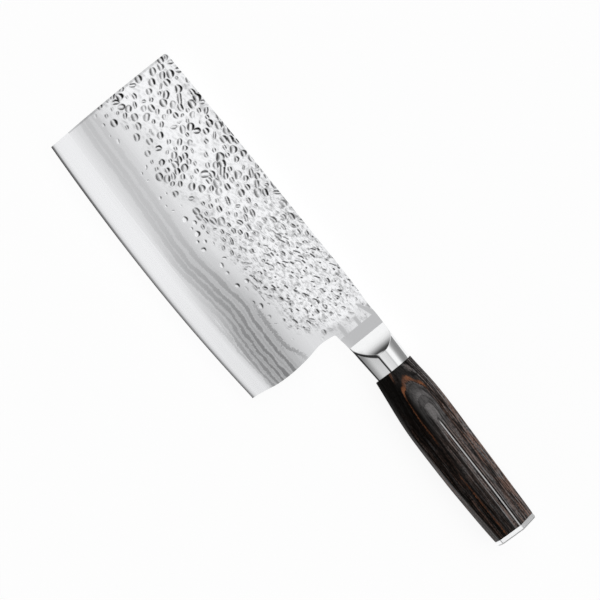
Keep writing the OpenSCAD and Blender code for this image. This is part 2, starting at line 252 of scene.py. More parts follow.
class StageLook(PropertyGroup):
    """Camera, floor and light."""

    camera_height: length("Camera height", 1.0, "Height of the camera over the blade's middle plane")
    camera_x: length("Camera x", -0.0103, "Place of the camera along the cleaver")
    camera_y: length("Camera y", 0.01335, "Place of the camera across the cleaver")
    view_width: length("View width", 0.3155, "Width of the picture at the blade's middle plane")
    turn: FloatProperty(
        name="Turn", description="Turn of the picture against the cleaver", default=math.radians(51.1),
        subtype="ANGLE",
    )
    floor: length("Floor", 6.0, "Side of the square floor")
    floor_white: share("Floor white", 0.9, "Share of the floor's own white in the picture")
    floor_shade: share("Floor shade", 0.15, "Share of the floor that takes the shadow")


def sizes(*names):
    """The groups of sizes, finishes or looks with the names given."""
    return [getattr(bpy.context.scene, "cleaver_" + name) for name in names]


def in_frame(x, y, z):
    """Points of the corner frame as an array of points in the packed model's frame."""
    x, y, z = np.broadcast_arrays(x, y, z)
    return np.stack([x + CAD_LOW.x, y + CAD_LOW.y, z + MIDDLE_Z], -1).reshape(-1, 3)


def lookup(at, shares, window=0.03):
    """A table of shares at given places, averaged over a small window that closes at the table's ends."""
    places, values = np.array(shares, float).T
    at = np.asarray(at, float)
    reach = np.minimum(window, np.clip(np.minimum(at - places[0], places[-1] - at), 0, None))
    return np.mean([np.interp(at + k * reach, places, values) for k in np.linspace(-1, 1, 9)], axis=0)


def ease(low, high, at):
    """0 below low, 1 above high and a smooth cubic step between."""
    k = np.clip((at - low) / (high - low), 0, 1)
    return k * k * (3 - 2 * k)


def lower(first, second, blend):
    """The smaller of two arrays, with the corner between them rounded over the length blend."""
    gap = np.clip(1 - np.abs(first - second) / blend, 0, None)
    return np.minimum(first, second) - gap * gap * blend / 4


def grid_faces(ids, wrap_columns=False, wrap_rows=False):
    """Quads of a grid of point numbers, closed on itself in the wrapped directions."""
    if wrap_columns:
        ids = np.concatenate([ids, ids[:, :1]], axis=1)
    if wrap_rows:
        ids = np.concatenate([ids, ids[:1]], axis=0)
    return np.stack([ids[:-1, :-1], ids[1:, :-1], ids[1:, 1:], ids[:-1, 1:]], -1).reshape(-1, 4)


def in_scene(name, data):
    """A new object in the scene."""
    made = bpy.data.objects.new(name, data)
    bpy.context.scene.collection.objects.link(made)
    return made


def solid(name, points, quads, rims=(), values=None, sharp=math.radians(40)):
    """A closed mesh object from points, quads and flat many-sided rims, turned so that its faces look out.

    The volume is the sum over all faces of the mixed products of their fans; where it is negative, every
    face is reversed. Values that end early are 0 on the points that are left.
    """
    faces = [quads] + [np.asarray(rim)[None] for rim in rims]
    volume = 0.0
    for group in faces:
        first, rest = points[group[:, 0]], points[group[:, 1:]]
        volume += np.einsum("ij,ikj->", first, np.cross(rest[:, :-1], rest[:, 1:]))
    if volume < 0:
        faces = [group[:, ::-1] for group in faces]
    corners = np.concatenate([group.ravel() for group in faces])
    counts = np.concatenate([np.full(len(group), group.shape[1]) for group in faces])
    mesh = bpy.data.meshes.new(name)
    mesh.vertices.add(len(points))
    mesh.vertices.foreach_set("co", points.astype(np.float32).ravel())
    mesh.loops.add(len(corners))
    mesh.loops.foreach_set("vertex_index", corners.astype(np.int32))
    mesh.polygons.add(len(counts))
    mesh.polygons.foreach_set("loop_start", (np.cumsum(counts) - counts).astype(np.int32))
    mesh.update(calc_edges=True)
    if mesh.validate():
        raise RuntimeError(f"{name} has faulty faces")
    mesh.shade_smooth()
    mesh.set_sharp_from_angle(angle=sharp)
    for key, numbers in (values or {}).items():
        whole_list = np.zeros(len(points), np.float32)
        whole_list[:numbers.size] = numbers.ravel()
        mesh.attributes.new(key, "FLOAT", "POINT").data.foreach_set("value", whole_list)
    return in_scene(name, mesh)


def loft(name, at, rings, wrap_rows=False, **extra):
    """A solid from closed rings of (y, z) points at places along x, with flat ends or closed on itself."""
    ids = np.arange(rings.shape[0] * rings.shape[1]).reshape(rings.shape[:2])
    points = in_frame(at[:, None], rings[..., 0], rings[..., 1])
    rims = () if wrap_rows else (ids[0], ids[-1][::-1])
    return solid(name, points, grid_faces(ids, True, wrap_rows), rims, **extra)


def seat(piece, node, material):
    """Puts a finished piece in the place of its CAD node."""
    piece.data.materials.append(material)
    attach(piece, BODY)
    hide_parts(node)


def edge_line(blade, x):
    """Height of the edge at x: two parabolas that rise from the lowest point to both corners."""
    low_x = blade.edge_l * LOW_SHARE
    ahead = np.clip((low_x - x) / low_x, 0, None)
    behind = np.clip((x - low_x) / (blade.edge_l - low_x), 0, 1)
    return blade.front_rise * np.square(ahead) + blade.heel_rise * np.square(behind)


def ground_half(blade, x, y):
    """Half thickness of the ground blade: the fine bevel, then one straight slope up to the flat."""
    edge = edge_line(blade, x)
    bevel = edge + blade.bevel_h
    slope = (blade.half_t - blade.half_behind) / (blade.grind_h - bevel)
    fine = blade.half_edge + (blade.half_behind - blade.half_edge) * (y - edge) / blade.bevel_h
    return np.where(y < bevel, fine, blade.half_behind + slope * (y - bevel))


def core_line(blade, x, thick):
    """Height at which the ground slope reaches the half thickness given."""
    bevel = edge_line(blade, x) + blade.bevel_h
    flare = (thick - blade.half_behind) * (blade.grind_h - bevel)
    return bevel + flare / (blade.half_t - blade.half_behind)


def corner_foot(blade):
    """Place of the front corner's arc: the x where it starts and the y where it starts."""
    foot_y = blade.height - blade.spine_dip * SPINE_SHARES[0][1] - blade.corner_r
    return FRONT_SHARES[-1][1] * blade.front_bow, foot_y


def corner_arc(blade, k):
    """How far the front corner's arc has left its side at the share k of its radius, up to its middle."""
    k = np.clip(k, 0, math.sqrt(0.5))
    return blade.corner_r * (1 - np.sqrt(1 - k * k))


def front_line(blade, y):
    """x of the front end at the height y: the bow, then half of the corner's arc."""
    bow = blade.front_bow * lookup(y / blade.height, FRONT_SHARES)
    return bow + corner_arc(blade, (y - corner_foot(blade)[1]) / blade.corner_r)


def spine_line(blade, x):
    """y of the spine at x: the other half of the corner's arc, then the dip's line to the bolster."""
    end = (blade.neck_end / blade.edge_l, blade.neck_drop / blade.spine_dip)
    dip = lookup(x / blade.edge_l, ((0, SPINE_SHARES[0][1]), *SPINE_SHARES, end), 0.012)
    arc = corner_arc(blade, 1 - (x - corner_foot(blade)[0]) / blade.corner_r)
    return blade.height - blade.spine_dip * dip - arc


def neck_low(blade):
    """y of the neck's underside at the bolster."""
    return blade.height - blade.neck_drop - blade.neck_h


def neck_corner(blade):
    """Where the heel's back turns into the neck's underside."""
    along, down = NOTCH_SHARES[0]
    return blade.edge_l + (blade.neck_end - blade.edge_l) * along, neck_low(blade) - blade.neck_h * down


def back_line(blade, y):
    """x of the heel's back at the height y, and above the neck's corner the x of that corner."""
    corner_x, corner_y = neck_corner(blade)
    top = corner_y / neck_low(blade)
    line = (*HEEL_SHARES, (top, (corner_x - blade.edge_l) / blade.heel_swell))
    return blade.edge_l + blade.heel_swell * lookup(np.clip(y / neck_low(blade), 0, top), line)


def neck_line(blade, x):
    """y of the neck's underside at x."""
    along = (x - blade.edge_l) / (blade.neck_end - blade.edge_l)
    return neck_low(blade) - blade.neck_h * lookup(along, (*NOTCH_SHARES, (1, 0)))


def blade_places(blade, bands, columns, neck_columns):
    """Grid over the blade's side: x and y of its points, its quads and its outer loop of point numbers.

    Each column runs from the bands' lowest line to the spine, and each row from the front line to the
    heel's back. Above the corner under the neck, further columns carry the rows on to the bolster.
    """
    corner_x, corner_y = neck_corner(blade)
    foot_x = corner_foot(blade)[0] + corner_arc(blade, 1)
    along = np.linspace(0, 1, columns + 1)
    x0 = foot_x + (corner_x - foot_x) * along
    lines = [np.broadcast_to(line(x0) if callable(line) else line, x0.shape) for line, _ in bands]
    lines.append(spine_line(blade, x0))
    steps = [np.linspace(0, 1, count, endpoint=False) for _, count in bands]
    y = [low[:, None] + (high - low)[:, None] * k for low, high, k in zip(lines, lines[1:], steps)]
    y = np.concatenate(y + [lines[-1][:, None]], axis=1)
    front = front_line(blade, y)
    x = front + (back_line(blade, y) - front) * along[:, None]
    turn = sum(count for _, count in bands[:-1])
    share_up = (y[-1, turn:] - corner_y) / (y[-1, -1] - corner_y)
    neck_x = np.linspace(corner_x, blade.neck_end, neck_columns + 1)[1:, None]
    under = neck_line(blade, neck_x)
    neck_y = under + (spine_line(blade, neck_x) - under) * share_up
    main = np.arange(x.size).reshape(x.shape)
    neck = np.arange(neck_y.size).reshape(neck_y.shape) + x.size
    neck = np.concatenate([main[-1:, turn:], neck])
    quads = np.concatenate([grid_faces(main), grid_faces(neck)])
    loop = np.concatenate([
        main[:-1, 0], main[-1, :turn], neck[:-1, 0], neck[-1, :-1], neck[::-1, -1], main[-2::-1, -1],
        main[0, -2:0:-1],
    ])
    all_x = np.concatenate([x.ravel(), np.broadcast_to(neck_x, neck_y.shape).ravel()])
    return all_x, np.concatenate([y.ravel(), neck_y.ravel()]), quads, loop


def tang_axis():
    """Height of the tang's axis."""
    blade, bolster = sizes("blade", "bolster")
    return blade.height - bolster.drop - bolster.height / 2 - bolster.tang_sink


def blade_layer(name, skins, wall, stub_z, quads, rims, values):
    """A layer of the blade from its skins, each an x, y and z of points, and its stub.

    The wall is two loops of point numbers with quads between them. The stub is a box that runs from the
    neck's end into the bolster, between the two z given.
    """
    blade = sizes("blade")[0]
    stub_x = (blade.neck_end, blade.neck_end + blade.stub_l)
    stub_y = (tang_axis() - blade.stub_h / 2, tang_axis() + blade.stub_h / 2)
    skins = [*skins, np.meshgrid(stub_x, stub_y, stub_z, indexing="ij")]
    points = np.concatenate([in_frame(*skin) for skin in skins])
    around = np.stack([wall[0], np.roll(wall[0], -1), np.roll(wall[1], -1), wall[1]], -1)[:, ::-1]
    box = np.array([[0, 1, 3, 2], [4, 6, 7, 5], [0, 4, 5, 1], [2, 3, 7, 6], [0, 2, 6, 4], [1, 5, 7, 3]])
    return solid(name, points, np.concatenate([quads, around, box + len(points) - 8]), rims, values)


# Places of the marks: darts thrown for them, the lowest in shares of the ground height, how far over the
# ground zone's line the full marks start, the share struck of the places below that, and how far down
DARTS = 14000
MARKS_LOW = 0.86
FULL_FROM = 0.6 * MM
LOW_STRUCK = 0.72
LOW_REACH = 7 * MM
# Where the marks turn from the front's kind to the heel's and where the middle's lie, in shares of the
# edge's length, and between which heights those by the spine begin
HEEL_MARKS = (0.3, 0.8)
MIDDLE_MARKS = (0.27, 0.74)
SPINE_MARKS = (50 * MM, 72 * MM)
# Share of the ground height from which the side sheets' points lie close, because marks start there
CLOSE_FROM = 0.83
# Thickness of a side sheet at its lower end, and rounding of the corner between its flat and its slope
THINNEST = 0.01 * MM
FLAT_ROUND = 0.02 * MM
# Slow waves under the marks: how many, and their shortest and longest, in millimetres
WAVES = 14
WAVE_SPAN = (3, 7)


def scatter(rng, low, high, gap, tries):
    """Places in a box, none nearer to another than the gap there allows, by throwing darts."""
    darts = rng.uniform(low, high, (tries, 2))
    kept = np.empty((0, 2))
    for dart, room in zip(darts, gap(*darts.T)):
        if not len(kept) or np.min(np.hypot(*(kept - dart).T)) > room:
            kept = np.concatenate([kept, dart[None]])
    return kept


def ground_top(blade, x):
    """Height of the wavy line at which the ground zone ends."""
    return blade.grind_h * (1 + lookup(x / blade.edge_l, GROUND_SHARES, 0.02))


def worn_wall(along, across, heel, blunt, bend, below):
    """How dark the painted shade on a mark's wall is, at places in shares of its half axes.

    A dark bar of painted shade, the brow, lies below the upper rim. The lower half is painted grey, darker
    towards its own rim, with a light streak between the two. A blunt mark has hardly any brow, and its grey
    spreads. Marks below the ground zone's line get a painted highlight inside instead, which is a negative
    darkness. Each part is a product of smooth steps over the place across, along or outwards.
    """
    out = np.sqrt(along * along + across * across)
    spread = 1 if blunt else heel
    grey = (0.75 + 0.25 * bend) * (1 - ease(-0.56 + 0.2 * spread, -0.08 + 0.14 * spread, across))
    grey = grey * (0.55 + 0.45 * ease(0.2, 0.75, -across)) * (1 - 0.4 * heel)
    if below:
        grey = -0.3 * (1 - ease(0.7, 0.95, out))
    brow = 0.97 * ease(0.24 - 0.2 * heel, 0.38 - 0.2 * heel, across) * (1 - ease(0.76, 0.9, across))
    brow = brow * (1 - (1 - heel) * ease(0.55, 0.9, np.abs(along))) * (0.2 if blunt else 1)
    rim = 0.12 * ease(0.7, 0.85, out)
    return (np.clip(grey + brow, -1, 1) + rim) * (1 - ease(0.86, 1, out))


def hammer_marks(blade, hammer, x, y, seed):
    """Depth of the hammer marks at the places given, and the painted shade on their walls there.

    Each mark is a bowl: its depth times one less the cubed distance from its middle. The distance is
    measured in the mark's own half axes, after a bend that turns the oval into a bean. Where marks overlap,
    the deeper one counts. They are largest half way along the blade, and narrow at the heel. A few are long
    nicks. Those below the ground zone's line are small and start from the ground slope. Slow waves lie
    under them all.
    """
    rng = np.random.default_rng(seed)
    at_heel = lambda at: ease(*HEEL_MARKS, at / blade.edge_l)
    shift = rng.uniform(0, 2 * math.pi, 2)

    def gap(at, up):
        """The gap at a place: 0.73 to 1.15 of its full size, by the product of two slow waves."""
        thin = np.sin(at / (5 * MM) + shift[0]) * np.sin(up / (6 * MM) + shift[1] + at / (17 * MM))
        room = hammer.gap_front + (hammer.gap_heel - hammer.gap_front) * at_heel(at)
        return room * (0.85 + 0.3 * np.clip(thin, -0.4, 1))

    marks = scatter(rng, (0, MARKS_LOW * blade.grind_h), (blade.edge_l, blade.height + 1 * MM), gap, DARTS)
    chances = rng.uniform(0, 1, (len(marks), 7))
    height = marks[:, 1] - ground_top(blade, marks[:, 0]) - FULL_FROM
    chosen = (height > 0) | ((chances[:, 4] < LOW_STRUCK) & (height > -LOW_REACH))
    depth, dark = np.zeros_like(x), np.zeros_like(x)
    for mark, up, chance in zip(marks[chosen], height[chosen], chances[chosen]):
        mark_x, mark_y = mark
        size, width, turn, force, _, kind, bend = chance
        heel = float(at_heel(mark_x))
        spine = float(ease(*SPINE_MARKS, mark_y)) * (1 - heel)
        middle = 1 - 4 * (float(ease(*MIDDLE_MARKS, mark_x / blade.edge_l)) - 0.5) ** 2
        long = (hammer.long_front + (hammer.long_heel - hammer.long_front) * heel) * (0.5 + 0.7 * size)
        long = long * (1 + 0.12 * spine + 0.15 * middle)
        wide = long * (0.55 + 0.4 * width - 0.32 * heel)
        sunk = max(0.0, float(blade.half_t - ground_half(blade, mark_x, mark_y)))
        if up < 0:
            long, wide = (0.7 + 0.2 * heel) * long, (0.6 + 0.8 * heel) * wide
        elif kind < 0.03 + 0.07 * heel:
            long, wide = 1.7 * long, 0.8 * wide
        angle = math.radians(-22 + 36 * heel + 50 * (turn - 0.5) + 60 * (turn > 0.9) * (1 - heel))
        deep = hammer.steep * wide * (0.5 + 0.5 * force)
        near = np.flatnonzero((np.abs(x - mark_x) < 1.2 * long) & (np.abs(y - mark_y) < 1.2 * long))
        dx, dy = x[near] - mark_x, y[near] - mark_y
        along = (dx * math.cos(angle) + dy * math.sin(angle)) / long
        across = (dy * math.cos(angle) - dx * math.sin(angle)) / wide
        across = across + (0.9 * bend - 0.35) * (along * along - 0.3)
        along = along * (1 + 0.3 * (width - bend) * across)
        bowl = (deep + sunk) * np.clip(1 - np.sqrt(along * along + across * across) ** 3, 0, None)
        strength = (0.74 - 0.42 * heel + (0.38 + 0.4 * heel) * force) * (1 + 0.15 * spine + 0.3 * middle)
        # Painted shade on the mark's wall, and a painted highlight inside marks below the ground zone's line
        shade = worn_wall(along, across, heel, kind >= 0.8, bend, up < 0) * strength
        top = bowl > depth[near]
        dark[near] = np.where(top, np.clip(shade, -1, 0.96 - 0.16 * heel), dark[near])
        depth[near] = np.where(top, bowl, depth[near])
    swell = np.full_like(x, 3 * hammer.swell)
    for _ in range(WAVES):
        turn, phase = rng.uniform(0, 2 * math.pi, 2)
        wave = rng.uniform(*WAVE_SPAN) * MM
        run = x * math.cos(turn) + y * math.sin(turn)
        swell += hammer.swell * np.sin(2 * math.pi * run / wave + phase)
    swell = np.clip(swell, 0, None) * ease(-1 * MM, 6 * MM, y - ground_top(blade, x))
    fade = 1 - ease(0.98, 1.01, x / blade.edge_l)
    return (depth + swell) * fade, dark * fade


def cladding(name, node, side, seed, material):
    """One side sheet: the hammered flat above, the ground slope below and a flat inner face on the core."""
    blade, hammer = sizes("blade", "hammer")
    thin_z = blade.half_core + THINNEST
    bands = (
        (lambda x: core_line(blade, x, thin_z), 14),
        (CLOSE_FROM * blade.grind_h, 82),
        (neck_corner(blade)[1], 70),
    )
    x, y, quads, loop = blade_places(blade, bands, columns=500, neck_columns=30)
    depth, dark = hammer_marks(blade, hammer, x, y, seed)
    z = np.maximum(lower(blade.half_t - depth, ground_half(blade, x, y), FLAT_ROUND), thin_z)
    inner = np.arange(len(loop)) + len(x)
    skins = ((x, y, side * z), (x[loop], y[loop], side * blade.half_core))
    stub_z = (side * blade.half_core, side * (blade.half_t - blade.stub_step))
    values = {
        "above": (y - ground_top(blade, x)) / MM,
        # Painted shade of the marks' walls, with a painted highlight as negative values inside the low marks
        "wall": dark,
        "layer": (y - blade.grind_h * lookup(x / blade.edge_l, LAYER_SHARES)) / MM,
    }
    piece = blade_layer(name, skins, (loop, inner), stub_z, quads, [inner[::-1]], values)
    seat(piece, node, material)


def blade_core(material):
    """The core sheet: both ground sides, the fine bevel and the very edge, flat where the sides lie."""
    blade = sizes("blade")[0]
    bands = (
        (lambda x: edge_line(blade, x), 6),
        (lambda x: edge_line(blade, x) + blade.bevel_h, 26),
        (lambda x: core_line(blade, x, blade.half_core), 24),
        (neck_corner(blade)[1], 20),
    )
    x, y, quads, loop = blade_places(blade, bands, columns=300, neck_columns=16)
    z = np.minimum(ground_half(blade, x, y), blade.half_core)
    quads = np.concatenate([quads, quads[:, ::-1] + len(x)])
    values = {"layer": np.tile((y - edge_line(blade, x)) / MM, 2)}
    skins, stub_z = ((x, y, z), (x, y, -z)), (-blade.half_core, blade.half_core)
    piece = blade_layer("core_layer", skins, (loop, loop + len(x)), stub_z, quads, (), values)
    seat(piece, "blade_core", material)


def soft_halves(corners, soft, bend_steps, side_steps):
    """Half sections as an array of sections by points by (y, z).

    Each corner is a quadratic curve that starts and ends on its two sides, as far from the corner as its
    softness and at most 0.48 of the side. Straight sides lie between the curves.
    """
    before, at, after = corners[:, :-2], corners[:, 1:-1], corners[:, 2:]
    reach = lambda other: np.minimum(soft / np.linalg.norm(other - at, axis=-1), 0.48)[..., None]
    p = at + (before - at) * reach(before)
    q = at + (after - at) * reach(after)
    k = np.linspace(0, 1, bend_steps + 1)[:, None]
    bends = (1 - k) ** 2 * p[:, :, None] + 2 * k * (1 - k) * at[:, :, None] + k * k * q[:, :, None]
    starts = np.concatenate([corners[:, :1], q], axis=1)
    ends = np.concatenate([p, corners[:, -1:]], axis=1)
    k = np.linspace(0, 1, side_steps + 1)[1:-1, None]
    sides = starts[:, :, None] * (1 - k) + ends[:, :, None] * k
    parts = [corners[:, :1]]
    for i in range(at.shape[1]):
        parts += [sides[:, i], bends[:, i]]
    return np.concatenate(parts + [sides[:, -1], corners[:, -1:]], axis=1)


def whole(half):
    """Closed rings from half sections that start and end on the middle plane."""
    return np.concatenate([half, half[:, -2:0:-1] * (1, -1)], axis=1)


def grip_rings(u, blade, grip):
    """Rings of the grip at the shares u of its length."""
    hump = blade.height + grip.rise
    down = lambda shares: hump - grip.height * lookup(u, shares)
    wide = lambda shares: grip.half_w * lookup(u, shares)
    top, low, ridge = down(TOP_SHARES), down(BELLY_SHARES), down(RIDGE_SHARES)
    land = grip.height * lookup(u, LAND_SHARES)
    keel = low + grip.height * lookup(u, KEEL_SHARES)
    crown = wide(CROWN_W_SHARES)
    ys = [top, top, ridge + land, ridge - land, keel, low, low]
    zs = [0 * u, wide(TOP_W_SHARES), crown, crown, wide(KEEL_W_SHARES), wide(BELLY_W_SHARES), 0 * u]
    soft = grip.height * np.stack([lookup(u, shares) for shares in SOFT_SHARES], -1)
    corners = np.stack([np.stack(ys, -1), np.stack(zs, -1)], -1)
    return whole(soft_halves(corners, soft, bend_steps=8, side_steps=8))


def drawn_in(rings, inset):
    """Rings moved towards their own middle height and the middle plane by the inset of each ring."""
    high, low = rings[..., 0].max(1), rings[..., 0].min(1)
    middle = ((high + low) / 2)[:, None]
    tall = 1 - (inset / ((high - low) / 2))[:, None]
    thin = 1 - (inset / rings[..., 1].max(1))[:, None]
    return np.stack([middle + (rings[..., 0] - middle) * tall, rings[..., 1] * thin], -1)


# The wood's ends are drawn in: places of the rings there in millimetres, and how far the first is drawn in
END_PLACES = (0, 0.03, 0.08, 0.16)
END_INSET = 0.12 * MM
# Rings between the ends
GRIP_RINGS = 250
# What the bore's points say for their place across the ridge: so low that no line of the ridge shows there
BORE_ACROSS = -40.0


def grip_block(material):
    """The wood: softened sections lofted along x, with the stepped bore as the inner side of one skin."""
    blade, grip = sizes("blade", "grip")
    ends, first = np.array(END_PLACES) * MM / grip.length, 0.3 * MM / grip.length
    u = np.concatenate([ends, np.linspace(first, 1 - first, GRIP_RINGS), 1 - ends[::-1]])
    to_end = np.minimum(u, 1 - u) * grip.length
    inset = END_INSET * np.clip(1 - to_end / (END_PLACES[-1] * MM), 0, 1) ** 2
    rings = drawn_in(grip_rings(u, blade, grip), inset)
    web_end = grip.length - grip.pocket_l
    web_start = web_end - grip.web_l
    bore = (
        (grip.length, grip.pocket_r), (web_end, grip.pocket_r), (web_end, grip.stud_r),
        (web_start, grip.stud_r), (web_start, grip.bore_r), (0, grip.bore_r),
    )
    axis_y = tang_axis()
    angle = np.arctan2(rings[0, :, 1], rings[0, :, 0] - axis_y)
    circle = np.stack([np.cos(angle), np.sin(angle)], -1)
    inner = np.stack([(axis_y, 0) + circle * radius for _, radius in bore])
    at = np.concatenate([u * grip.length, [place for place, _ in bore]])
    ridge = blade.height + grip.rise - grip.height * lookup(u, RIDGE_SHARES)
    inner_across = np.full(inner.shape[:2], BORE_ACROSS)
    values = {
        "across": np.concatenate([(rings[..., 0] - ridge[:, None]) / MM, inner_across]),
        "along": np.repeat(at / grip.length, rings.shape[1]),
    }
    piece = loft("grip_block", grip.start + at, np.concatenate([rings, inner]), True, values=values)
    seat(piece, "grip", material)


# Rounding of the hollow's rim: on its upper side, what its lower side has more, and what that gains up to
# the crown
RIM_ROUND, RIM_MORE, RIM_CROWN = 0.14 * MM, 0.2 * MM, 1.1 * MM
# How much narrower than its crown a section may be where its upper side ends and its lower side starts
UPPER_SLACK, LOWER_SLACK = 0.02 * MM, 0.13 * MM
# Rings along the collar, and points of a half ring on its upper side, the hollow's floor and its lower side
COLLAR_RINGS = 151
RING_PARTS = (60, 70, 60)


def bolster_rings(x, blade, bolster, grip_x):
    """Rings of the bolster at the places x.

    The section runs between straight top and bottom lines. Its half width is the smaller of the softened
    section and the hollow, a parabola that rises from the neck to the crown's edge, where a circle of the
    hollow's radius would reach it. The points are spread along the upper side, the hollow's floor and the
    lower side, so that the hollow's rim is a line of points. The rim is rounder on its lower side.
    """
    k = (x - blade.neck_end) / (grip_x - blade.neck_end)
    neck_top = blade.height - blade.neck_drop
    top = neck_top + (blade.height - bolster.drop - neck_top) * k
    tall = blade.neck_h + (bolster.height - blade.neck_h) * k
    table = np.array(BOLSTER_SHARES)
    ys = top[:, None] - tall[:, None] * np.concatenate([[0], table[:, 0], [1]])
    zs = bolster.half_w * np.concatenate([[0], table[:, 1], [0]]) + 0 * ys
    soft = tall[:, None] * table[:, 2]
    halves = soft_halves(np.stack([ys, zs], -1), soft, bend_steps=10, side_steps=10)
    rise = bolster.half_w - blade.half_t - bolster.lip
    climb = np.square((x - blade.neck_end) / math.sqrt(2 * bolster.scoop_r * rise - rise * rise))
    floor = blade.half_t + bolster.lip + rise * climb
    upper, hollow, under = RING_PARTS
    below = np.interp(np.arange(upper + hollow + under), (upper, upper + hollow), (0, 1))
    blend = RIM_ROUND + below * (RIM_MORE + RIM_CROWN * climb[:, None])
    rings = []
    for half, limit, round_by in zip(halves, floor, blend):
        ys, zs = half.T
        travel = np.concatenate([[0], np.cumsum(np.linalg.norm(np.diff(half, axis=0), axis=1))])
        peak = int(np.argmax(zs > zs.max() - UPPER_SLACK))
        last = len(zs) - 1 - int(np.argmax(zs[::-1] > zs.max() - LOWER_SLACK))
        up = np.interp(min(limit, zs[peak]), zs[:peak + 1], travel[:peak + 1])
        fall = np.interp(-min(limit, zs[last]), -zs[last:], travel[last:])
        stops = np.concatenate([
            np.linspace(0, up, upper, endpoint=False),
            np.linspace(up, fall, hollow, endpoint=False),
            np.linspace(fall, travel[-1], under),
        ])
        section = np.stack([np.interp(stops, travel, ys), np.interp(stops, travel, zs)], -1)
        section[:, 1] = np.clip(lower(section[:, 1], np.full(len(stops), limit), round_by), 0, None)
        section[0, 1] = section[-1, 1] = 0
        rings.append(section)
    return whole(np.stack(rings))


def slot_ring(ring, high, wide):
    """A ring's points moved along their rays from the tang's axis to a rectangle round it."""
    axis = (tang_axis(), 0)
    ray = ring - axis
    reach = np.min((high / 2, wide / 2) / np.maximum(np.abs(ray), 1e-9), axis=1)
    return axis + ray * reach[:, None]


def bolster_collar(material):
    """The bolster: hollowed sections lofted along x, closed round the pockets for the stub and the tang."""
    blade, bolster, grip = sizes("blade", "bolster", "grip")
    x = blade.neck_end + (grip.start - blade.neck_end) * np.linspace(0, 1, COLLAR_RINGS)
    rings = bolster_rings(x, blade, bolster, grip.start)
    stub = slot_ring(rings[0], blade.stub_h, 2 * (blade.half_t - blade.stub_step))
    bar = slot_ring(rings[-1], span("tang", 1), bolster.tang_t)
    at = np.concatenate([[x[0] + blade.stub_l, x[0]], x, [x[-1], start_x("tang")]])
    piece = loft("bolster_collar", at, np.concatenate([[stub, stub], rings, [bar, bar]]))
    seat(piece, "bolster", material)


def end_plate(material):
    """The cap: the grip's last section carried on, with a bevel, fine rounded edges and a flat face."""
    blade, grip = sizes("blade", "grip")
    rim, thick, fine = grip.cap_rim, grip.cap_t, 0.08 * MM
    profile = np.array([
        (0, fine), (0.3 * fine, 0.3 * fine), (fine, 0), (thick / 2, 0), (thick - rim - fine, 0),
        (thick - rim, 0.4 * fine), (thick - rim + fine, fine), (thick - fine, rim - fine),
        (thick - 0.4 * fine, rim), (thick, rim + fine), (thick, rim + 0.4 * MM), (thick, 3 * MM),
        (thick, 6 * MM),
    ])
    rings = drawn_in(np.repeat(grip_rings(np.ones(1), blade, grip), len(profile), axis=0), profile[:, 1])
    values = {"satin": np.ones(rings.shape[:2])}
    at = grip.start + grip.length + profile[:, 0]
    piece = loft("end_plate", at, rings, values=values, sharp=math.radians(60))
    seat(piece, "end_cap", material)


def math_method(operation, swapped=False):
    """A method that adds a Math node on a number and others, in this order or the other way round."""

    def method(self, *others):
        return self.graph.math(operation, *((*others, self) if swapped else (self, *others)))

    return method


class Value:
    """A number in a shader: Python's operators on it add Math nodes."""

    def __init__(self, graph, socket):
        self.graph, self.socket = graph, socket

    __add__ = __radd__ = math_method("ADD")
    __mul__ = __rmul__ = math_method("MULTIPLY")
    __sub__, __rsub__ = math_method("SUBTRACT"), math_method("SUBTRACT", True)
    __truediv__, __rtruediv__ = math_method("DIVIDE"), math_method("DIVIDE", True)

    def __neg__(self):
        return self * -1

    def floor(self):
        """The whole number below."""
        return self.graph.math("FLOOR", self)

    def size(self):
        """The number without its sign."""
        return self.graph.math("ABSOLUTE", self)

    def ease(self, low, high):
        """0 below low, 1 above high and a smooth step between."""
        links = {"Value": self, "From Min": low, "From Max": high}
        return self.graph.value("ShaderNodeMapRange", {"interpolation_type": "SMOOTHSTEP"}, links)

    def line(self, centre, half):
        """1 on the centre, 0 past the half width on either side."""
        return 1 - (self - centre).size().ease(half * 0.4, half)


